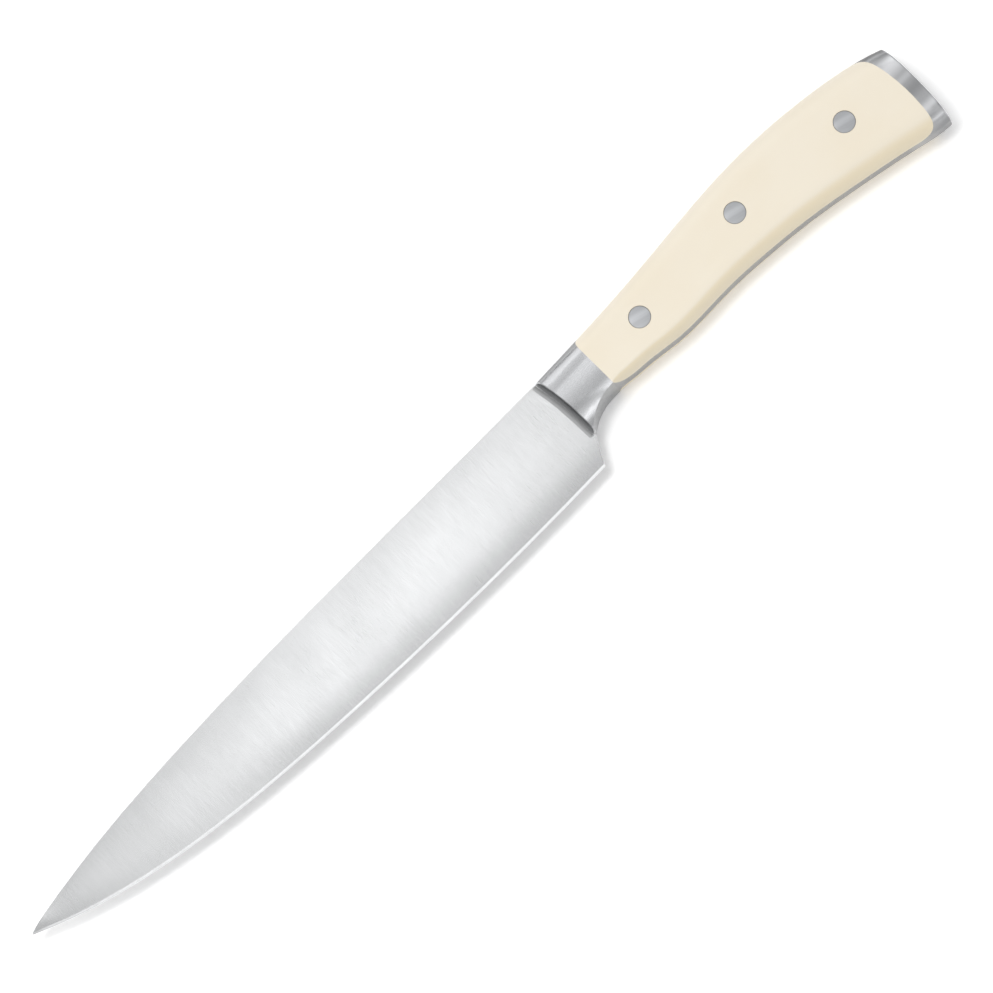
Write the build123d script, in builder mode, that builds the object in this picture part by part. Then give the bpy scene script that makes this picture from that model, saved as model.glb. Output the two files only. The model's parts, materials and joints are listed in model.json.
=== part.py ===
from build123d import *

import math
import os

# Carving knife, lying on its right flank.
# X runs from the tip to the butt, Y from the cutting edge to the spine, Z is up through the thickness.
# The origin is on the surface that the knife lies on, under the middle of its length and height.

# Lengths along the knife, in millimetres
blade_length = 200.0
bolster_length = 14.0
handle_length = 114.2
cap_length = 4.0

# Heights across the knife, measured from the straight part of the spine
blade_height = 29.6
tip_drop = 8.9
hump_rise = 4.75
butt_drop = 29.65

# Blade thicknesses and the bevel at its edge
spine_thickness = 2.4
tip_thickness = 0.9
shoulder_thickness = 0.5
edge_thickness = 0.08
bevel_height = 0.7
grind_bulge_share = 0.009

# Bolster, handle and tang thicknesses
bolster_thickness = 10.8
joint_thickness = 14.2
handle_thickness = 16.0
tang_thickness = 4.6
strip_thickness = 4.2
flank_stock = 0.004

# Cove where the bolster rises from the blade
cove_width = 3.0
cove_height = 4.4
cove_bow = 1.8
cove_seat = 0.06
cove_rim_radius = 0.3

# Choil, the hollow between the heel of the blade and the handle
heel_angle = 62.0
choil_start = 0.5
choil_start_drop = 22.2
choil_middle = 4.6
choil_middle_drop = 18.15
choil_drop = 16.0

# Rounding of the bolster and handle sections
bolster_crown_depth = 6.4
crown_depth = 9.6
bolster_belly_drop = 21.2
bolster_belly_depth = 13.0
joint_belly_drop = 18.5
joint_belly_depth = 1.9
rim_depth = 0.45
front_belly_depth = 1.8
belly_depth = 7.6
rim_length = 6.0
strip_length = 5.0
swell_length = 13.0
spine_sink = 0.5

# Ends of the scales: fillets at the tang, and the arc at the cap
front_shoulder_radius = 4.6
rear_shoulder_radius = 6.0
cap_arc_radius = 58.0
cap_arc_drop = 16.5

# Butt face
butt_bow = 1.1
butt_edge_radius = 0.5

# Rivets: a head at each flank, a tube through the tang and a pin inside the tube
rivet_head_diameter = 6.1
rivet_head_depth = 2.6
sleeve_diameter = 4.6
pin_diameter = 3.0
pin_end_clearance = 0.4
rivet_clearance = 0.05
rivet_drops = (8.75, 7.0, 10.6)
rivet_length_shares = (0.1514, 0.4805, 0.8101)
rivet_names = ("front", "middle", "rear")

# One overrun serves every cut
overrun = 3.0

# Side outlines, as shares of the length and the height that they follow
spine_shares = ((0.0, 0.02), (0.05, 0.265), (0.15, 0.583), (0.3, 0.835), (0.5, 0.98), (0.66, 1.0))
tip_slope_share = 0.3
edge_shares = (
    (0.0, 0.01), (0.05, 0.21), (0.15, 0.5), (0.3, 0.757),
    (0.5, 0.915), (0.7, 0.987), (0.85, 1.0), (1.05, 0.96),
)
crown_shares = (
    (0.0, 0.065), (0.18, 0.3), (0.38, 0.74), (0.585, 1.0), (0.79, 0.64), (0.93, 0.0), (1.04, -0.95),
)
belly_shares = (
    (0.028, 0.568), (0.055, 0.5835), (0.1, 0.597), (0.15, 0.624), (0.195, 0.643), (0.25, 0.647),
    (0.35, 0.6375), (0.467, 0.661), (0.606, 0.7185), (0.746, 0.8145), (0.886, 0.9275),
    (0.955, 0.985), (1.04, 0.987),
)

# Stations of the sections, as shares of the blade, the bolster and the handle
blade_station_shares = (
    0.0, 0.01, 0.035, 0.07, 0.12, 0.18, 0.26, 0.36, 0.48, 0.62, 0.78, 0.92, 1.0, 1.03,
)
bolster_station_shares = (-0.3, 0.05, 0.35, 0.65, 0.85, 1.0)
handle_station_shares = (
    0.0, 0.007, 0.015, 0.026, 0.041, 0.062, 0.09, 0.13, 0.18, 0.24, 0.31, 0.38, 0.45, 0.52,
    0.59, 0.66, 0.73, 0.8, 0.87, 0.92, 0.96, 1.0005,
)
cove_station_shares = (-0.2, 0.0, 0.25, 0.6, 1.0, 1.2)

# Share of a corner's depth at which a smooth curve matches a quarter ellipse
ellipse_share = 0.5523

# Control points of a section's corner, as shares of its depth and its width: it leaves the flank slowly
corner_shares = ((0.0, 0.0), (0.0, 0.3), (0.2, 1.0), (0.6, 1.0), (1.0, 1.0))

# Halvings that find a place on an outline closely enough
halving_count = 40

# Places worked out from the sizes
overall_length = blade_length + bolster_length + handle_length
overall_height = hump_rise + butt_drop
tip_x = -overall_length / 2
bolster_x = tip_x + blade_length
joint_x = bolster_x + bolster_length
butt_x = joint_x + handle_length
cap_x = butt_x - cap_length
spine_y = overall_height / 2 - hump_rise
tip_y = spine_y - tip_drop
belly_y = spine_y - butt_drop
crown_y = spine_y + hump_rise
mid_z = handle_thickness / 2
tang_half = tang_thickness / 2
strip_half = strip_thickness / 2
mid_plane = Plane.XY.offset(mid_z)


# A number that grows from 0 to 1 and levels off
def level_off(share, power):
    return 1 - (1 - min(max(share, 0), 1)) ** power


# Height of a side outline at a given X
def height_at(outline, x):
    low, high = 0.0, 1.0
    for halving in range(halving_count):
        middle = (low + high) / 2
        if outline.position_at(middle).X < x:
            low = middle
        else:
            high = middle
    return outline.position_at(low).Y


# Half the blade's thickness at a share of the way down its slightly bulging face
def blade_half(share, at_spine, at_shoulder, bulge):
    return at_spine + share * (at_shoulder - at_spine) + 4 * bulge * share * (1 - share)


# Plane across the knife at a given X, with its own axes along Y and Z
def across(x):
    return Plane((x, 0, mid_z), x_dir=(0, 1, 0), z_dir=(1, 0, 0))


# Section of the bolster or handle: strips at top and bottom, flat flanks, four rounded corners
def handle_section(x, top, bottom, half_width, top_depth, bottom_depth, half_bottom):
    top_width = half_width - strip_half
    bottom_width = half_width - half_bottom
    with BuildSketch(across(x)) as section:
        with BuildLine():
            Line((top, -strip_half), (top, strip_half))
            Line((bottom, -half_bottom), (bottom, half_bottom))
            for side in (-1, 1):
                upper = Bezier(
                    *[
                        (top - deep * top_depth, side * (strip_half + wide * top_width))
                        for deep, wide in corner_shares
                    ]
                )
                lower = Bezier(
                    *[
                        (bottom + deep * bottom_depth, side * (half_bottom + wide * bottom_width))
                        for deep, wide in corner_shares
                    ]
                )
                Line(upper @ 1, lower @ 1)
        make_face()
    return section.sketch


# Side outlines: blade spine, cutting edge, top of the handle and its belly
with BuildLine() as spine_line:
    drop = Spline(
        [(tip_x + along * blade_length, tip_y + up * tip_drop) for along, up in spine_shares],
        tangents=[(1, tip_slope_share), (1, 0)],
    )
    Polyline(drop @ 1, (bolster_x, spine_y), (joint_x, spine_y - spine_sink))

with BuildLine() as edge_line:
    Spline(
        [
            (tip_x + along * blade_length, tip_y - down * (blade_height - tip_drop))
            for along, down in edge_shares
        ]
    )

with BuildLine() as crown_line:
    Spline(
        [(bolster_x - bolster_length / 2, spine_y - spine_sink / 2)]
        + [(joint_x + along * handle_length, spine_y + up * hump_rise) for along, up in crown_shares]
    )

with BuildLine() as belly_line:
    Spline(
        [(joint_x, spine_y - choil_drop)]
        + [(joint_x + along * handle_length, spine_y - down * butt_drop) for along, down in belly_shares]
    )

spine_outline = spine_line.wire()
edge_outline = edge_line.wire()
crown_outline = crown_line.wire()
belly_outline = belly_line.wire()

# Blade: wedge sections with slightly bulging faces that thin towards the tip, and a small bevel at the edge
with BuildPart() as blade_block:
    for share in blade_station_shares:
        x = tip_x + share * blade_length
        top = height_at(spine_outline, x)
        bottom = height_at(edge_outline, x)
        height = top - bottom
        half_spine = min(tip_thickness + (spine_thickness - tip_thickness) * share, height) / 2
        half_shoulder = min(shoulder_thickness, height / 2) / 2
        shoulder = bottom + min(bevel_height, height / 3)
        half_edge = edge_thickness / 2
        half_middle = blade_half(0.5, half_spine, half_shoulder, grind_bulge_share * height)
        with BuildSketch(across(x)):
            with BuildLine():
                Line((top, -half_spine), (top, half_spine))
                for side in (-1, 1):
                    ThreePointArc(
                        (top, side * half_spine),
                        ((top + shoulder) / 2, side * half_middle),
                        (shoulder, side * half_shoulder),
                    )
                    Line((shoulder, side * half_shoulder), (bottom, side * half_edge))
                Line((bottom, -half_edge), (bottom, half_edge))
            make_face()
    loft()

# Cove cutter: cleared space over the blade face, rounded up into the front wall of the bolster
with BuildPart() as cove_cutter:
    front_x = bolster_x - bolster_length
    for share in cove_station_shares:
        y = spine_y - share * bolster_belly_drop
        down_share = (spine_y - y) / (blade_height - bevel_height)
        bulge = grind_bulge_share * blade_height
        floor = blade_half(down_share, spine_thickness / 2, shoulder_thickness / 2, bulge) - cove_seat
        rim_x = bolster_x + cove_bow * level_off(share, 2)
        with BuildSketch(Plane((0, y, mid_z), x_dir=(1, 0, 0), z_dir=(0, -1, 0))):
            with BuildLine():
                Polyline(
                    (rim_x, floor + cove_height),
                    (rim_x, handle_thickness),
                    (front_x, handle_thickness),
                    (front_x, floor),
                    (rim_x - cove_width, floor),
                )
                Bezier(
                    (rim_x - cove_width, floor),
                    (rim_x - (1 - ellipse_share) * cove_width, floor),
                    (rim_x, floor + (1 - ellipse_share) * cove_height),
                    (rim_x, floor + cove_height),
                )
            make_face()
    loft()
    mirror(about=mid_plane)

# Bolster: rounded sections that widen towards the handle, with the cove cut into the front and its rim eased
with BuildPart() as bolster_block:
    bolster_sections = []
    for share in bolster_station_shares:
        growth = max(share, 0)
        bolster_sections.append(
            handle_section(
                bolster_x + share * bolster_length,
                height_at(crown_outline, bolster_x + share * bolster_length),
                spine_y - bolster_belly_drop + growth * (bolster_belly_drop - joint_belly_drop),
                (bolster_thickness + growth * (joint_thickness - bolster_thickness)) / 2,
                bolster_crown_depth,
                bolster_belly_depth + growth * (joint_belly_depth - bolster_belly_depth),
                strip_half,
            )
        )
    loft(bolster_sections)
    add(cove_cutter.part, mode=Mode.SUBTRACT)
    beside_cove = bolster_block.edges().filter_by_position(Axis.X, bolster_x, bolster_x + cove_width)
    rim_edges = [edge for edge in beside_cove if abs(edge.center().Z - mid_z) > cove_height / 2]
    fillet(rim_edges, radius=cove_rim_radius)

# Whole handle behind the joint: its belly strip narrows and its roundings grow towards the butt.
# It is lofted a little too thick, and its two flanks are then ground to true flat faces.
with BuildPart() as handle_block:
    full_thickness = handle_thickness + 2 * flank_stock
    handle_sections = []
    for share in handle_station_shares:
        x = joint_x + share * handle_length
        behind = x - joint_x
        swell = level_off(behind / swell_length, 2)
        front_depth = rim_depth + level_off(behind / rim_length, 3) * (front_belly_depth - rim_depth)
        strip = level_off(behind / strip_length, 3)
        half_width = (joint_thickness + swell * (full_thickness - joint_thickness)) / 2
        handle_sections.append(
            handle_section(
                x,
                height_at(crown_outline, x),
                height_at(belly_outline, x),
                half_width,
                bolster_crown_depth + share * (crown_depth - bolster_crown_depth),
                front_depth + share * (belly_depth - front_belly_depth),
                half_width - rim_depth + strip * (strip_half + rim_depth - half_width),
            )
        )
    loft(handle_sections)
    with BuildSketch(mid_plane):
        with BuildLine():
            butt_arc = ThreePointArc(
                (butt_x - butt_bow, crown_y),
                (butt_x, (crown_y + belly_y) / 2),
                (butt_x - butt_bow, belly_y),
            )
            Polyline(
                butt_arc @ 1,
                (butt_x - butt_bow, belly_y - overrun),
                (butt_x + handle_thickness, belly_y - overrun),
                (butt_x + handle_thickness, crown_y + overrun),
                (butt_x - butt_bow, crown_y + overrun),
                butt_arc @ 0,
            )
        make_face()
    extrude(amount=handle_thickness, both=True, mode=Mode.SUBTRACT)
    fillet(handle_block.faces().sort_by(Axis.X)[-1].edges(), radius=butt_edge_radius)
    split(bisect_by=Plane.XY, keep=Keep.TOP)
    split(bisect_by=Plane.XY.offset(handle_thickness), keep=Keep.BOTTOM)

# Pocket for the left scale: flat on the tang, filleted up to the bolster and to the arc of the cap
with BuildPart() as left_pocket:
    pocket_top = crown_y + 2 * rear_shoulder_radius
    pocket_bottom = belly_y - 2 * rear_shoulder_radius
    arc_y = spine_y - cap_arc_drop
    arc_x = cap_x - cap_arc_radius
    angle_below = math.degrees(math.asin((arc_y - pocket_bottom) / cap_arc_radius))
    angle_above = math.degrees(math.asin((pocket_top - arc_y) / cap_arc_radius))
    with BuildSketch(mid_plane.offset(tang_half)):
        with BuildLine():
            cap_arc = CenterArc((arc_x, arc_y), cap_arc_radius, -angle_below, angle_below + angle_above)
            Polyline(cap_arc @ 1, (joint_x, pocket_top), (joint_x, pocket_bottom), cap_arc @ 0)
        make_face()
    extrude(amount=handle_thickness)
    fillet(left_pocket.edges().group_by(Axis.Z)[0].sort_by(Axis.X)[0], radius=front_shoulder_radius)
    fillet(left_pocket.edges().group_by(Axis.Z)[0].sort_by(Axis.X)[-1], radius=rear_shoulder_radius)

with BuildPart() as right_pocket:
    add(mirror(left_pocket.part, about=mid_plane, mode=Mode.PRIVATE))

# Space under the choil: a straight heel that sweeps up into the underside of the bolster
with BuildPart() as choil_cutter:
    cutter_bottom = spine_y - blade_height - overrun
    start_x = bolster_x + choil_start
    start_y = spine_y - choil_start_drop
    heel_foot_x = start_x - (start_y - cutter_bottom) / math.tan(math.radians(heel_angle))
    with BuildSketch(mid_plane):
        with BuildLine():
            heel = Line((heel_foot_x, cutter_bottom), (start_x, start_y))
            sweep_up = Spline(
                [
                    heel @ 1,
                    (bolster_x + choil_middle, spine_y - choil_middle_drop),
                    (joint_x, spine_y - choil_drop),
                ],
                tangents=[heel % 1, (1, 0)],
            )
            Polyline(sweep_up @ 1, (joint_x, cutter_bottom), heel @ 0)
        make_face()
    extrude(amount=handle_thickness, both=True)

# Blade, bolster, tang and cap, forged in one piece
rivet_places = [
    (joint_x + along * handle_length, spine_y - drop)
    for along, drop in zip(rivet_length_shares, rivet_drops)
]
sleeve_radius = sleeve_diameter / 2
head_radius = rivet_head_diameter / 2
with BuildPart() as blade_forging:
    add(handle_block.part)
    add(left_pocket.part, mode=Mode.SUBTRACT)
    add(right_pocket.part, mode=Mode.SUBTRACT)
    add(bolster_block.part)
    add(blade_block.part)
    add(choil_cutter.part, mode=Mode.SUBTRACT)
    with Locations(*[(x, y, mid_z) for x, y in rivet_places]):
        Hole(sleeve_radius + rivet_clearance)
blade_forging.part.label = "blade_forging"

# Left scale, on the upper flank, with a counterbored hole for each rivet
with BuildPart() as left_scale:
    add(handle_block.part)
    add(left_pocket.part, mode=Mode.INTERSECT)
    with Locations(*[(x, y, handle_thickness) for x, y in rivet_places]):
        CounterBoreHole(sleeve_radius + rivet_clearance, head_radius + rivet_clearance, rivet_head_depth)
left_scale.part.label = "left_scale"

# Right scale, on the lower flank
with BuildPart() as right_scale:
    add(handle_block.part)
    add(right_pocket.part, mode=Mode.INTERSECT)
    with Locations(*[Location((x, y, 0), (180, 0, 0)) for x, y in rivet_places]):
        CounterBoreHole(sleeve_radius + rivet_clearance, head_radius + rivet_clearance, rivet_head_depth)
right_scale.part.label = "right_scale"

os.makedirs("parts", exist_ok=True)
export_step(blade_forging.part, "parts/blade_forging.step")
export_step(left_scale.part, "parts/left_scale.step")
export_step(right_scale.part, "parts/right_scale.step")

# Rivets: the sleeve's head is flush in the right scale, the post's head in the left one
head_seat = handle_thickness - rivet_head_depth
pin_end = rivet_head_depth + pin_end_clearance
for name, (x, y) in zip(rivet_names, rivet_places):
    with BuildPart() as sleeve:
        with BuildSketch(Plane((x, y, 0))):
            Circle(head_radius)
        extrude(amount=rivet_head_depth)
        with BuildSketch(Plane((x, y, rivet_head_depth))):
            Circle(sleeve_radius)
        extrude(amount=head_seat - rivet_head_depth)
        with BuildSketch(Plane((x, y, rivet_head_depth))):
            Circle(pin_diameter / 2)
        extrude(amount=head_seat - rivet_head_depth, mode=Mode.SUBTRACT)
    sleeve.part.label = f"{name}_rivet_sleeve"
    export_step(sleeve.part, f"parts/{name}_rivet_sleeve.step")

    with BuildPart() as post:
        with BuildSketch(Plane((x, y, head_seat))):
            Circle(head_radius)
        extrude(amount=rivet_head_depth)
        with BuildSketch(Plane((x, y, pin_end))):
            Circle(pin_diameter / 2)
        extrude(amount=head_seat - pin_end)
    post.part.label = f"{name}_rivet_post"
    export_step(post.part, f"parts/{name}_rivet_post.step")
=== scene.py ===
import json
import math

import bpy
from mathutils import Matrix, Vector

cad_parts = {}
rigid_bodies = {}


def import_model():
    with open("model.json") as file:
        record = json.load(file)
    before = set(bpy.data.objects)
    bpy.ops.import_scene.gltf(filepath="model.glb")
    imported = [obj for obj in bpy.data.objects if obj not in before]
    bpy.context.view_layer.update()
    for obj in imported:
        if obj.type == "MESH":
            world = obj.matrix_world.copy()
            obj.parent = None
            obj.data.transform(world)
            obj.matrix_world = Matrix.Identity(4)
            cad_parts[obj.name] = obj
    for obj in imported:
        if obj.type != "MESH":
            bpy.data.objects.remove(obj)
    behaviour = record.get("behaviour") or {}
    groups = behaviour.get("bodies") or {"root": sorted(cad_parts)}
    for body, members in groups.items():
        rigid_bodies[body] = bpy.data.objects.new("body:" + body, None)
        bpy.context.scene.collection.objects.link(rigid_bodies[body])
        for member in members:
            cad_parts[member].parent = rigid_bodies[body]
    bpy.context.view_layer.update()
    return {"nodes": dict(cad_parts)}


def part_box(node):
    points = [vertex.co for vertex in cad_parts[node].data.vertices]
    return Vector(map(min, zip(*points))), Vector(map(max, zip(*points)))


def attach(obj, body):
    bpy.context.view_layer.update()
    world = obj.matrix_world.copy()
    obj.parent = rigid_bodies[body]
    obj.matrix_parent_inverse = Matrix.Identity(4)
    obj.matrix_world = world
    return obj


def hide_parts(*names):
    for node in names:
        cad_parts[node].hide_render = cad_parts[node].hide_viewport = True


# a plain start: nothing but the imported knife
for spare in list(bpy.data.objects):
    bpy.data.objects.remove(spare)
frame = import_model()
print("frame loaded,", len(frame["nodes"]), "nodes")


# a display colour, 0 to 255, as the linear colour that a socket takes
def linear(*shades):
    parts = (shade / 255 for shade in shades)
    levels = (part / 12.92 if part <= 0.04045 else ((part + 0.055) / 1.055) ** 2.4 for part in parts)
    return (*levels, 1.0)


# one node of a shader or geometry tree, with its inputs set or linked by name or number
def addNode(tree, kind, inputs=None, **settings):
    node = tree.nodes.new(kind)
    for name, value in settings.items():
        setattr(node, name, value)
    for name, value in (inputs or {}).items():
        if isinstance(value, bpy.types.NodeSocket):
            tree.links.new(value, node.inputs[name])
        else:
            node.inputs[name].default_value = value
    return node


def calc(tree, operation, first, second=0.0, third=0.0, clamp=False):
    node = addNode(tree, "ShaderNodeMath", {0: first, 1: second, 2: third}, operation=operation)
    node.use_clamp = clamp
    return node.outputs[0]


def times(tree, first, *others):
    for other in others:
        first = calc(tree, "MULTIPLY", first, other)
    return first


# what a share leaves of 1
def rest(tree, share):
    return calc(tree, "SUBTRACT", 1.0, share)


# a middle value that noise moves up and down
def sway(tree, noise, strength, middle):
    return calc(tree, "MULTIPLY_ADD", calc(tree, "SUBTRACT", noise, 0.5), strength, middle)


def ramp(tree, value, low, high, start=0.0, end=1.0):
    node = addNode(
        tree,
        "ShaderNodeMapRange",
        {"Value": value, "From Min": low, "From Max": high, "To Min": start, "To Max": end},
        interpolation_type="SMOOTHSTEP",
    )
    return node.outputs["Result"]


# 1 at a centre, falling softly to 0 at a distance of reach on both sides
def band(tree, value, centre, reach):
    distance = calc(tree, "ABSOLUTE", calc(tree, "SUBTRACT", value, centre))
    return ramp(tree, distance, reach, 0.0)


def mixValue(tree, share, first, second):
    node = addNode(tree, "ShaderNodeMix", {"Factor": share, "A": first, "B": second}, data_type="FLOAT")
    return node.outputs["Result"]


def mixColour(tree, share, first, second):
    node = tree.nodes.new("ShaderNodeMix")
    node.data_type = "RGBA"
    for index, value in ((0, share), (6, first), (7, second)):  # its sockets for colours
        if isinstance(value, bpy.types.NodeSocket):
            tree.links.new(value, node.inputs[index])
        else:
            node.inputs[index].default_value = value
    return node.outputs[2]


# noise that can be finer along one axis than another: counts are waves per metre along X, Y and Z
def grain(tree, place, counts, detail=2.0):
    stretched = addNode(tree, "ShaderNodeMapping", {"Vector": place, "Scale": counts})
    inputs = {"Vector": stretched.outputs[0], "Scale": 1.0, "Detail": detail, "Roughness": 0.5}
    return addNode(tree, "ShaderNodeTexNoise", inputs).outputs["Fac"]


# a fine relief in the shader's normal
def addRelief(tree, shader, height, relief):
    bump = addNode(tree, "ShaderNodeBump", {"Height": height, **relief})
    tree.links.new(bump.outputs[0], shader.inputs["Normal"])


# a base colour made lighter or darker by a value around 1
def addShaded(tree, shader, colour, shade):
    shaded = addNode(tree, "ShaderNodeVectorMath", {0: colour}, operation="SCALE")
    tree.links.new(shade, shaded.inputs["Scale"])
    tree.links.new(shaded.outputs[0], shader.inputs["Base Color"])


def newMaterial(name):
    material = bpy.data.materials.new(name)
    material.use_nodes = True
    tree = material.node_tree
    tree.nodes.clear()
    shader = tree.nodes.new("ShaderNodeBsdfPrincipled")
    output = tree.nodes.new("ShaderNodeOutputMaterial")
    tree.links.new(shader.outputs[0], output.inputs["Surface"])
    place = tree.nodes.new("ShaderNodeTexCoord")
    return material, tree, shader, place


# places on the knife in metres, and the rise of the cutting edge towards the tip
forgingLow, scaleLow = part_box("blade_forging")[0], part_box("left_scale")[0]
knife = {
    "tipX": forgingLow[0],
    "jointX": scaleLow[0],
    "bladeLength": 0.2,
    "edgeY": -0.0171,
    "edgeRise": 0.0209,
    "edgePower": 3.8,
    "spineY": 0.01245,
    "rimBow": 0.0018,
    "bellyDrop": 0.0212,
    "capX": 0.1528,
}

# Soft, Reach and Fade: the distances over which a zone comes in, for edgeFade shares of the blade
# Tilt and Turn: the parts of the normal between which it does. Shade: how much a zone's painted shade
# darkens
# fine, broad, brush and cloud: counts of the noise. Bands: painted reflections, light and dark, as heights,
# reaches and strengths
steelLook = {
    "bladeColour": linear(217, 218, 219),
    "bolsterColour": linear(195, 196, 198),
    "bladeRough": 0.25,
    "bolsterRough": 0.27,
    "capRough": 0.32,
    "bevelRough": 0.2,
    "rimSoft": (-0.0008, 0.0001),
    "capSoft": (-0.004, -0.002),
    "groundTilt": (0.99, 0.97),
    "faceTilt": (0.985, 0.995),
    "edgeReach": (0.0095, 0.0012),
    "edgeFade": (0.25, 0.5),
    "edgePaintedShade": 0.22,
    "sideTurn": (0.5, 0.9),
    "sidePaintedShade": 0.64,
    "chinTurn": (0.2, 0.3),
    "chinFade": (0.004, 0.0),
    "chinPaintedShade": 0.42,
    "crownTurn": (0.55, 0.85),
    "crownPaintedShade": 0.62,
    "coveTurn": (0.7, 1.0),
    "covePaintedShade": 0.62,
    "endTurn": (0.3, 0.7),
    "fine": (9000, 260, 900),
    "broad": (1400, 45, 300),
    "brush": (220, 8000, 8000),
    "brushBroad": (70, 1500, 1500),
    "cloud": (60, 60, 60),
    "cloudDetail": 3,
    "marksInRough": 0.10,
    "cloudInRough": 0.06,
    "marksInShade": 0.06,
    "broadInRelief": 0.6,
    "relief": {"Strength": 0.08, "Distance": 0.00002},
    # painted reflections: light and dark bands across the bolster's flank and around the cap
    "bolsterPaintedBands": (
        (-0.0006, 0.004, -0.22),
        (0.0052, 0.004, 0.24),
        (0.0082, 0.0016, 0.3),
        (-0.0036, 0.0028, 0.5),
    ),
    "capPaintedBands": (
        (0.0068, 0.0026, -0.26),
        (0.0036, 0.0042, 0.72),
        (-0.0011, 0.0016, 0.3),
        (-0.005, 0.0034, -0.26),
        (-0.0112, 0.0024, 0.6),
        (-0.0128, 0.0014, -0.36),
        (-0.0156, 0.002, 0.7),
    ),
}


# the sum of some soft bands of painted reflection, light and dark, across the knife, each given by its
# height, its reach and its strength
def bandSum(tree, y, bands):
    total = 1.0
    for centre, reach, strength in bands:
        total = calc(tree, "MULTIPLY_ADD", band(tree, y, centre, reach), strength, total)
    return total


# the bands and shades stand for the studio's reflections and stay when the light changes
def bladeSteel():
    look = steelLook
    material, tree, shader, place = newMaterial("bladeSteel")
    spot = place.outputs["Object"]
    x, y, _ = addNode(tree, "ShaderNodeSeparateXYZ", {0: spot}).outputs
    facingX, facingY, facingZ = addNode(tree, "ShaderNodeSeparateXYZ", {0: place.outputs["Normal"]}).outputs

    # zones: behind the bowed rim of the bolster, the cap, and the ground bevel and spine
    down = calc(tree, "SUBTRACT", knife["spineY"], y)
    down = calc(tree, "DIVIDE", down, knife["bellyDrop"], clamp=True)
    upper = rest(tree, down)
    bow = rest(tree, times(tree, upper, upper))
    rimX = calc(tree, "MULTIPLY_ADD", bow, knife["rimBow"], knife["tipX"] + knife["bladeLength"])
    bolster = ramp(tree, calc(tree, "SUBTRACT", x, rimX), *look["rimSoft"])
    front = rest(tree, bolster)
    cap = ramp(tree, calc(tree, "SUBTRACT", x, knife["capX"]), *look["capSoft"])
    tilt = calc(tree, "ABSOLUTE", facingZ)
    ground = times(tree, ramp(tree, tilt, *look["groundTilt"]), front)

    # darker zones of painted shade: along the cutting edge, the sides, under the bolster, the cap's crown,
    # the cove
    along = calc(tree, "SUBTRACT", x, knife["tipX"])
    along = calc(tree, "DIVIDE", along, knife["bladeLength"], clamp=True)
    rise = calc(tree, "POWER", rest(tree, along), knife["edgePower"])
    edgeY = calc(tree, "MULTIPLY_ADD", rise, knife["edgeRise"], knife["edgeY"])
    nearEdge = ramp(tree, calc(tree, "SUBTRACT", y, edgeY), *look["edgeReach"])
    onFace = times(tree, ramp(tree, tilt, *look["faceTilt"]), front)
    nearEdge = times(tree, nearEdge, ramp(tree, along, *look["edgeFade"]), onFace)
    sideways = ramp(tree, calc(tree, "ABSOLUTE", facingY), *look["sideTurn"])
    sideways = times(tree, sideways, bolster)
    downward = ramp(tree, calc(tree, "MULTIPLY", facingY, -1.0), *look["chinTurn"])
    chin = ramp(tree, calc(tree, "SUBTRACT", x, knife["jointX"]), *look["chinFade"])
    chin = times(tree, downward, chin)
    sidePaintedShade = mixValue(tree, chin, look["sidePaintedShade"], look["chinPaintedShade"])
    crown = times(tree, ramp(tree, facingY, *look["crownTurn"]), cap)
    cove = ramp(tree, calc(tree, "MULTIPLY", facingX, -1.0), *look["coveTurn"])

    # grinding marks: across the blade, along the bolster and the cap
    marks = mixValue(tree, bolster, grain(tree, spot, look["fine"]), grain(tree, spot, look["brush"]))
    broad, brushBroad = grain(tree, spot, look["broad"]), grain(tree, spot, look["brushBroad"])
    broadMarks = mixValue(tree, bolster, broad, brushBroad)
    cloud = grain(tree, spot, look["cloud"], detail=look["cloudDetail"])
    rough = mixValue(tree, bolster, look["bladeRough"], look["bolsterRough"])
    rough = mixValue(tree, cap, rough, look["capRough"])
    rough = mixValue(tree, ground, rough, look["bevelRough"])
    rough = sway(tree, marks, look["marksInRough"], rough)
    rough = sway(tree, cloud, look["cloudInRough"], rough)
    tree.links.new(rough, shader.inputs["Roughness"])

    shade = sway(tree, broadMarks, look["marksInShade"], 1.0)
    # painted shade: each zone darkens the base colour by its strength
    shades = (
        (nearEdge, look["edgePaintedShade"]),
        (sideways, sidePaintedShade),
        (crown, look["crownPaintedShade"]),
        (cove, look["covePaintedShade"]),
    )
    for mask, strength in shades:
        shade = times(tree, shade, rest(tree, times(tree, mask, strength)))
    # painted reflections: the bands lighten and darken the bolster's flank and around the cap
    inFront = times(tree, bolster, rest(tree, cap), rest(tree, sideways))
    endOn = ramp(tree, calc(tree, "ABSOLUTE", facingX), *look["endTurn"])
    aroundCap = times(tree, cap, rest(tree, endOn))
    for zone, bands in ((inFront, look["bolsterPaintedBands"]), (aroundCap, look["capPaintedBands"])):
        shade = times(tree, shade, mixValue(tree, zone, 1.0, bandSum(tree, y, bands)))
    addShaded(tree, shader, mixColour(tree, bolster, look["bladeColour"], look["bolsterColour"]), shade)
    height = calc(tree, "MULTIPLY_ADD", broadMarks, look["broadInRelief"], marks)
    addRelief(tree, shader, height, look["relief"])
    shader.inputs["Metallic"].default_value = 1.0
    return material


creamLook = {
    "colour": linear(240, 231, 213),
    "warm": linear(236, 224, 200),
    # belly: a yellower tint painted on the downward side, as painted shade
    "belly": linear(240, 227, 199),
    "warmFrom": (0.35, 0.75),
    "warmShare": 0.35,
    "bellyTurn": (-0.25, -0.75),
    "rough": 0.36,
    "cloud": (45, 60, 60),
    "swirl": (220, 260, 260),
    "skin": (2600, 2600, 2600),
    "detail": 3,
    "swirlInRough": 0.12,
    "skinInRough": 0.10,
    "swirlInRelief": 0.6,
    "relief": {"Strength": 0.08, "Distance": 0.00003},
    "refraction": 1.48,
}


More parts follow.
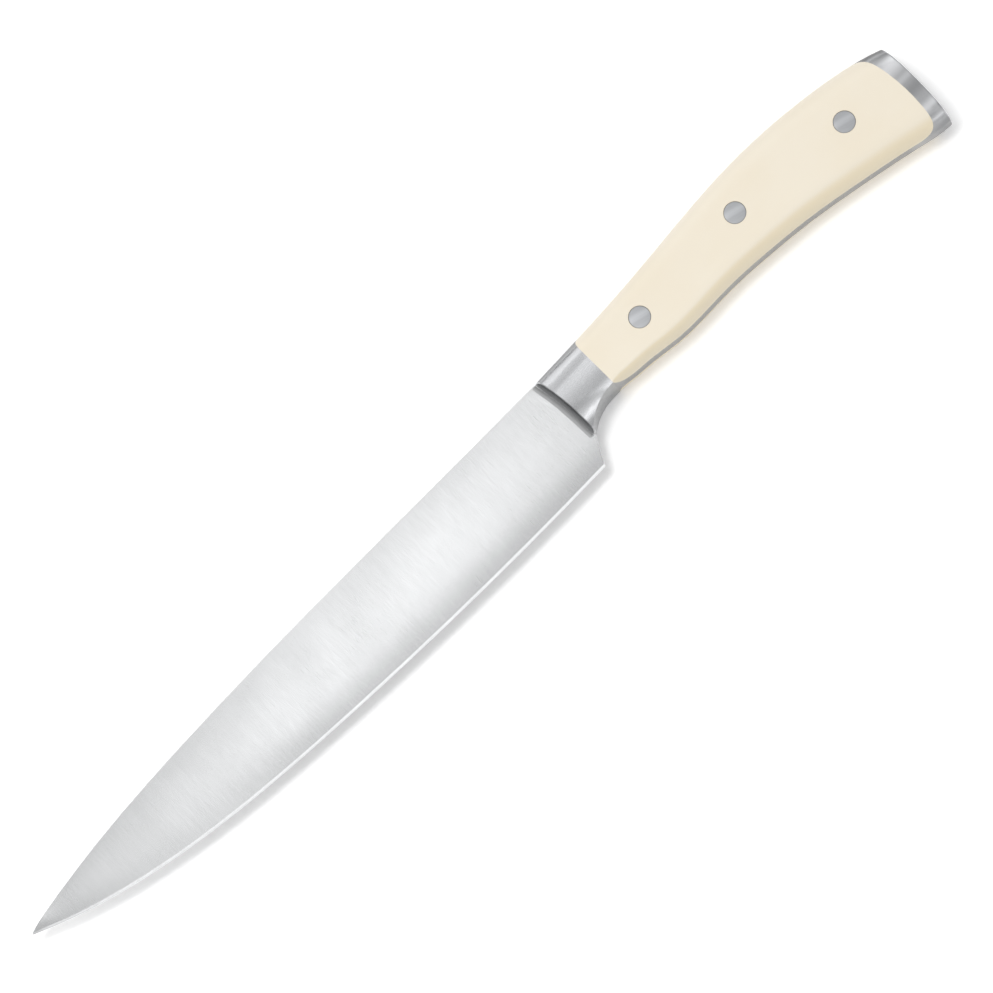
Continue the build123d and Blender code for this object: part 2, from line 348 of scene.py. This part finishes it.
def creamPlastic():
    look = creamLook
    material, tree, shader, place = newMaterial("creamPlastic")
    spot = place.outputs["Object"]
    cloud = grain(tree, spot, look["cloud"], detail=look["detail"])
    skin = grain(tree, spot, look["skin"], detail=look["detail"])
    swirl = grain(tree, spot, look["swirl"])
    warmth = ramp(tree, cloud, *look["warmFrom"], 0.0, look["warmShare"])
    colour = mixColour(tree, warmth, look["colour"], look["warm"])
    # painted shade: the downward-facing belly is tinted yellower, as a shaded side looks
    facing = addNode(tree, "ShaderNodeSeparateXYZ", {0: place.outputs["Normal"]})
    belly = ramp(tree, facing.outputs[1], *look["bellyTurn"])
    tree.links.new(mixColour(tree, belly, colour, look["belly"]), shader.inputs["Base Color"])
    rough = sway(tree, swirl, look["swirlInRough"], look["rough"])
    tree.links.new(sway(tree, skin, look["skinInRough"], rough), shader.inputs["Roughness"])
    height = calc(tree, "MULTIPLY_ADD", swirl, look["swirlInRelief"], skin)
    addRelief(tree, shader, height, look["relief"])
    shader.inputs["IOR"].default_value = look["refraction"]
    return material


# rivets: a head with a shallow dome and a rounded rim, and its shank or tube
rivet = {
    "Head Radius": 0.00305,
    "Head Depth": 0.0026,
    "Dome": 0.00005,
    "Rim": 0.00014,
    "Facets": 72,
    "postShank": 0.0015,
    "postReach": 0.013,
    "sleeveShank": 0.0023,
    "sleeveReach": 0.0134,
    "sleeveBore": 0.0015,
    "names": ("front", "middle", "rear"),
    "faceSteps": 8,
    "faceStartShare": 0.4,
    "faceEndShare": 0.75,
    "domeShare": 0.5,
    "rimSteps": 6,
    "roundShare": 0.5523,
    "pathRadius": 0.001,
    "weld": 0.000001,
    "crease": math.radians(40),
}

rivetLook = {
    "colour": linear(199, 201, 204)[:3],
    "rough": 0.32,
    "grainAngle": math.radians(14),
    "fine": (500, 9000, 900),
    "broad": (160, 1600, 600),
    "marksInRough": 0.16,
    "marksInShade": 0.16,
    # a painted highlight band across the head
    "paintedHighlightHeight": 0.0005,
    "paintedHighlightReach": 0.0016,
    "paintedHighlightStrength": 0.22,
    "rimStartShare": 0.9,
    "rimShade": 0.3,
    "relief": {"Strength": 0.15, "Distance": 0.00002},
}


# reads the place on the rivet's own head, which the rivet tree stores
def rivetSteel():
    look = rivetLook
    material, tree, shader, _ = newMaterial("rivetSteel")
    own = addNode(tree, "ShaderNodeAttribute", attribute_name="ownPlace").outputs["Vector"]
    turned = addNode(
        tree, "ShaderNodeVectorRotate", {"Vector": own, "Angle": look["grainAngle"]}, rotation_type="Z_AXIS"
    ).outputs[0]
    across = addNode(tree, "ShaderNodeSeparateXYZ", {0: turned}).outputs[1]
    fine, broad = grain(tree, turned, look["fine"]), grain(tree, turned, look["broad"])
    tree.links.new(sway(tree, fine, look["marksInRough"], look["rough"]), shader.inputs["Roughness"])
    shade = sway(tree, broad, look["marksInShade"], 1.0)
    # painted highlight: a light band across the head; the head also darkens towards its rim
    light = band(tree, across, look["paintedHighlightHeight"], look["paintedHighlightReach"])
    shade = calc(tree, "MULTIPLY_ADD", light, look["paintedHighlightStrength"], shade)
    flat = addNode(tree, "ShaderNodeVectorMath", {0: own, 1: (1, 1, 0)}, operation="MULTIPLY")
    radius = addNode(tree, "ShaderNodeVectorMath", {0: flat.outputs[0]}, operation="LENGTH").outputs["Value"]
    rim = ramp(tree, radius, rivet["Head Radius"] * look["rimStartShare"], rivet["Head Radius"])
    shade = times(tree, shade, calc(tree, "MULTIPLY_ADD", rim, -look["rimShade"], 1.0))
    addShaded(tree, shader, look["colour"], shade)
    addRelief(tree, shader, fine, look["relief"])
    shader.inputs["Metallic"].default_value = 1.0
    return material


steel, cream, rivetMetal = bladeSteel(), creamPlastic(), rivetSteel()
for name, material in (("blade_forging", steel), ("left_scale", cream), ("right_scale", cream)):
    node = bpy.data.objects[name]
    for slot in node.material_slots:
        slot.material = material

print("finishes on the forging and the scales")


# turns the profile of a head and its shank round the Z axis, and puts the result on each point
def rivetTree():
    tree = bpy.data.node_groups.new("rivetTree", "GeometryNodeTree")
    lengths = ["Head Radius", "Head Depth", "Dome", "Rim"]
    lengths += ["Shank Radius", "Reach", "Bore Radius", "Bore Reach"]
    kinds = [("Geometry", "Geometry")]
    kinds += [(name, "Float") for name in lengths]
    kinds += [("Facets", "Int"), ("Turn", "Float"), ("Metal", "Material")]
    for name, kind in kinds:
        tree.interface.new_socket(name, in_out="INPUT", socket_type="NodeSocket" + kind)
    tree.interface.new_socket("Geometry", in_out="OUTPUT", socket_type="NodeSocketGeometry")
    given = tree.nodes.new("NodeGroupInput").outputs

    # the profile is drawn with radius along X, shifted by the path's own radius, and depth along Y
    def spot(depth, radius):
        outward = calc(tree, "SUBTRACT", radius, rivet["pathRadius"])
        return addNode(tree, "ShaderNodeCombineXYZ", {"X": outward, "Y": depth}).outputs[0]

    def arc(steps, start, startHandle, endHandle, end):
        inputs = {"Resolution": steps, "Start": start, "Start Handle": startHandle}
        inputs.update({"End Handle": endHandle, "End": end})
        return addNode(tree, "GeometryNodeCurvePrimitiveBezierSegment", inputs)

    faceRadius = calc(tree, "SUBTRACT", given["Head Radius"], given["Rim"])
    rimDepth = calc(tree, "ADD", given["Dome"], given["Rim"])
    nearRim = calc(tree, "MULTIPLY_ADD", given["Rim"], rivet["roundShare"], faceRadius)
    nearSide = calc(tree, "MULTIPLY_ADD", given["Rim"], 1 - rivet["roundShare"], given["Dome"])
    face = arc(
        rivet["faceSteps"],
        spot(0.0, 0.0),
        spot(0.0, times(tree, faceRadius, rivet["faceStartShare"])),
        spot(times(tree, given["Dome"], rivet["domeShare"]), times(tree, faceRadius, rivet["faceEndShare"])),
        spot(given["Dome"], faceRadius),
    )
    rim = arc(
        rivet["rimSteps"],
        spot(given["Dome"], faceRadius),
        spot(given["Dome"], nearRim),
        spot(nearSide, given["Head Radius"]),
        spot(rimDepth, given["Head Radius"]),
    )
    corners = (
        spot(rimDepth, given["Head Radius"]),
        spot(given["Head Depth"], given["Head Radius"]),
        spot(given["Head Depth"], given["Shank Radius"]),
        spot(given["Reach"], given["Shank Radius"]),
        spot(given["Reach"], given["Bore Radius"]),
        spot(given["Bore Reach"], given["Bore Radius"]),
        spot(given["Bore Reach"], 0.0),
    )
    choose = addNode(tree, "GeometryNodeIndexSwitch", data_type="VECTOR")
    while len(choose.index_switch_items) < len(corners):
        choose.index_switch_items.new()
    tree.links.new(tree.nodes.new("GeometryNodeInputIndex").outputs[0], choose.inputs["Index"])
    for index, corner in enumerate(corners):
        tree.links.new(corner, choose.inputs[str(index)])
    line = addNode(tree, "GeometryNodeMeshLine", {"Count": len(corners)})
    bent = {"Geometry": line.outputs[0], "Position": choose.outputs[0]}
    bent = addNode(tree, "GeometryNodeSetPosition", bent)
    side = addNode(tree, "GeometryNodeMeshToCurve", {0: bent.outputs[0]})
    profile = tree.nodes.new("GeometryNodeJoinGeometry")
    for part in (side, rim, face):
        tree.links.new(part.outputs[0], profile.inputs[0])
    path = {"Resolution": given["Facets"], "Radius": rivet["pathRadius"]}
    path = addNode(tree, "GeometryNodeCurvePrimitiveCircle", path)
    lathe = {"Curve": path.outputs[0], "Profile Curve": profile.outputs[0]}
    lathe = addNode(tree, "GeometryNodeCurveToMesh", lathe)
    welded = {"Geometry": lathe.outputs[0], "Distance": rivet["weld"]}
    welded = addNode(tree, "GeometryNodeMergeByDistance", welded)

    # smooth but for the edges that turn by more than the crease angle
    angle = tree.nodes.new("GeometryNodeInputMeshEdgeAngle").outputs["Unsigned Angle"]
    gentle = addNode(
        tree,
        "FunctionNodeCompare",
        {"A": angle, "B": rivet["crease"]},
        data_type="FLOAT",
        operation="LESS_THAN",
    )
    smooth = {0: welded.outputs[0], "Shade Smooth": True}
    smooth = addNode(tree, "GeometryNodeSetShadeSmooth", smooth, domain="FACE")
    creased = {0: smooth.outputs[0], "Shade Smooth": gentle.outputs[0]}
    creased = addNode(tree, "GeometryNodeSetShadeSmooth", creased, domain="EDGE")
    own = addNode(
        tree,
        "GeometryNodeStoreNamedAttribute",
        {"Geometry": creased.outputs[0], "Name": "ownPlace"},
        data_type="FLOAT_VECTOR",
        domain="POINT",
    )
    tree.links.new(tree.nodes.new("GeometryNodeInputPosition").outputs[0], own.inputs["Value"])
    turn = addNode(tree, "ShaderNodeCombineXYZ", {"X": given["Turn"]})
    points = addNode(tree, "GeometryNodeMeshToPoints", {"Mesh": given["Geometry"]})
    placed = {"Points": points.outputs[0], "Instance": own.outputs[0], "Rotation": turn.outputs[0]}
    placed = addNode(tree, "GeometryNodeInstanceOnPoints", placed)
    real = addNode(tree, "GeometryNodeRealizeInstances", {"Geometry": placed.outputs[0]})
    metal = {"Geometry": real.outputs[0], "Material": given["Metal"]}
    metal = addNode(tree, "GeometryNodeSetMaterial", metal)
    output = tree.nodes.new("NodeGroupOutput")
    tree.links.new(metal.outputs[0], output.inputs[0])
    return tree


# runs the tree on points at the given places and returns the result as a plain mesh object
def fromTree(name, tree, points, inputs):
    seed = bpy.data.meshes.new(name + "Points")
    seed.from_pydata(points, [], [])
    piece = bpy.data.objects.new(name, seed)
    modifier = piece.modifiers.new("shape", "NODES")
    modifier.node_group = tree
    sockets = {item.name: item.identifier for item in tree.interface.items_tree if item.in_out == "INPUT"}
    for key, value in inputs.items():
        modifier[sockets[key]] = value
    bpy.context.scene.collection.objects.link(piece)
    bpy.context.view_layer.update()
    evaluated = piece.evaluated_get(bpy.context.evaluated_depsgraph_get())
    mesh = bpy.data.meshes.new_from_object(evaluated)
    piece.modifiers.clear()
    piece.data = mesh
    bpy.data.meshes.remove(seed)
    return piece


riveting = rivetTree()
shared = {key: rivet[key] for key in ("Head Radius", "Head Depth", "Dome", "Rim", "Facets")}
shared["Metal"] = rivetMetal
post = {
    **shared,
    "Shank Radius": rivet["postShank"],
    "Reach": rivet["postReach"],
    "Bore Radius": 0.0,
    "Bore Reach": rivet["postReach"],
    "Turn": 0.0,
}
sleeve = {
    **shared,
    "Shank Radius": rivet["sleeveShank"],
    "Reach": rivet["sleeveReach"],
    "Bore Radius": rivet["sleeveBore"],
    "Bore Reach": rivet["Head Depth"],
    "Turn": math.pi,
}
for name in rivet["names"]:
    low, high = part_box(f"{name}_rivet_post")
    x, y = (low[0] + high[0]) / 2, (low[1] + high[1]) / 2
    for kind, z, inputs in (("post", high[2], post), ("sleeve", 0.0, sleeve)):
        piece = fromTree(f"{name}Rivet{kind.title()}", riveting, [(x, y, z)], inputs)
        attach(piece, "root")
        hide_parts(f"{name}_rivet_{kind}")
print("rivets made")

# a floor that looks brighter, also in the steel, than the light that it gives back
stage = {"size": 8.0, "colour": (0.9, 0.9, 0.9, 1.0), "seenColour": (1.25, 1.25, 1.25, 1.0)}
half = stage["size"] / 2
floorMesh = bpy.data.meshes.new("floor")
corners = [(-half, -half, 0), (half, -half, 0), (half, half, 0), (-half, half, 0)]
floorMesh.from_pydata(corners, [], [(0, 1, 2, 3)])
floor = bpy.data.objects.new("floor", floorMesh)
bpy.context.scene.collection.objects.link(floor)
paper = bpy.data.materials.new("paperWhite")
paper.use_nodes = True
tree = paper.node_tree
tree.nodes.clear()
rays = tree.nodes.new("ShaderNodeLightPath").outputs
seen = calc(tree, "MAXIMUM", rays["Is Camera Ray"], rays["Is Glossy Ray"])
seen = calc(tree, "MAXIMUM", seen, rays["Is Transmission Ray"])
white = mixColour(tree, seen, stage["colour"], stage["seenColour"])
matte = addNode(tree, "ShaderNodeBsdfDiffuse", {"Color": white})
output = tree.nodes.new("ShaderNodeOutputMaterial")
tree.links.new(matte.outputs[0], output.inputs["Surface"])
floorMesh.materials.append(paper)

# the first five show in the steel, the wash only lights and casts the short shadows
lamps = {
    "tipBox": {
        "at": (-0.225, 0.175, 1.0),
        "aim": (-0.225, 0.0, 0.0),
        "size": (0.13, 0.16),
        "radiance": 0.78,
        "mirrored": True,
    },
    "overheadBox": {
        "at": (-0.04, 0.175, 1.0),
        "aim": (-0.04, 0.0, 0.0),
        "size": (0.24, 0.16),
        "radiance": 1.42,
        "mirrored": True,
    },
    "sideBox": {
        "at": (0.0, 1.0, 0.66),
        "aim": (0.0, 0.0, 0.0),
        "size": (1.2, 0.85),
        "radiance": 0.85,
        "mirrored": True,
    },
    "frontBox": {
        "at": (0.0, -0.46, 1.0),
        "aim": (0.0, 0.0, 0.0),
        "size": (1.2, 0.24),
        "radiance": 0.95,
        "mirrored": True,
    },
    "lowBox": {
        "at": (0.0, -1.0, 0.35),
        "aim": (0.0, 0.0, 0.0),
        "size": (1.2, 0.3),
        "radiance": 0.9,
        "mirrored": True,
    },
    "washBox": {
        "at": (-0.04, 0.14, 1.0),
        "aim": (0.0, 0.0, 0.0),
        "size": (0.36, 0.24),
        "radiance": 11.5,
        "mirrored": False,
    },
}


def softBox(name, at, aim, size, radiance, mirrored):
    lamp = bpy.data.lights.new(name, "AREA")
    lamp.shape = "RECTANGLE"
    lamp.size, lamp.size_y = size
    lamp.energy = radiance * math.pi * size[0] * size[1]
    holder = bpy.data.objects.new(name, lamp)
    holder.location = at
    holder.rotation_euler = (Vector(aim) - Vector(at)).to_track_quat("-Z", "Y").to_euler()
    holder.visible_glossy = mirrored
    bpy.context.scene.collection.objects.link(holder)


for name, lamp in lamps.items():
    softBox(name, **lamp)

# a room that is darker towards the horizon, and white to the camera
room = {"zenith": 0.62, "horizon": 0.3, "rise": (0.05, 0.8)}
world = bpy.data.worlds.new("room")
bpy.context.scene.world = world
world.use_nodes = True
tree = world.node_tree
tree.nodes.clear()
where = tree.nodes.new("ShaderNodeTexCoord")
up = addNode(tree, "ShaderNodeSeparateXYZ", {0: where.outputs["Generated"]}).outputs[2]
level = ramp(tree, up, *room["rise"], room["horizon"], room["zenith"])
rays = tree.nodes.new("ShaderNodeLightPath").outputs
level = mixValue(tree, rays["Is Camera Ray"], level, 1.0)
background = addNode(tree, "ShaderNodeBackground", {"Color": (1, 1, 1, 1), "Strength": level})
output = tree.nodes.new("ShaderNodeOutputWorld")
tree.links.new(background.outputs[0], output.inputs[0])

# the photograph's view: tilted a little off square, with the knife along the picture's diagonal
camera = {
    "lens": 200.0,
    "sensor": 36.0,
    "near": 0.01,
    "tilt": 13.0,
    "centre": (0.00646, -0.0015, 0.008),
    "width": 0.2655,
}
tilt = math.radians(camera["tilt"])
back = Vector((0, -math.sin(tilt), math.cos(tilt)))
flat = Vector((0, math.cos(tilt), math.sin(tilt)))
rightward = (Vector((1, 0, 0)) - flat).normalized()
upward = (Vector((1, 0, 0)) + flat).normalized()
lens = bpy.data.cameras.new("camera")
lens.lens = camera["lens"]
lens.sensor_width = camera["sensor"]
lens.clip_start = camera["near"]
eye = bpy.data.objects.new("camera", lens)
distance = camera["width"] * camera["lens"] / camera["sensor"]
turned = Matrix((rightward, upward, back)).transposed().to_4x4()
eye.matrix_world = Matrix.Translation(Vector(camera["centre"]) + back * distance) @ turned
bpy.context.scene.collection.objects.link(eye)
bpy.context.scene.camera = eye
bpy.context.scene.view_settings.view_transform = "Standard"
print("stage set")

bpy.context.view_layer.update()
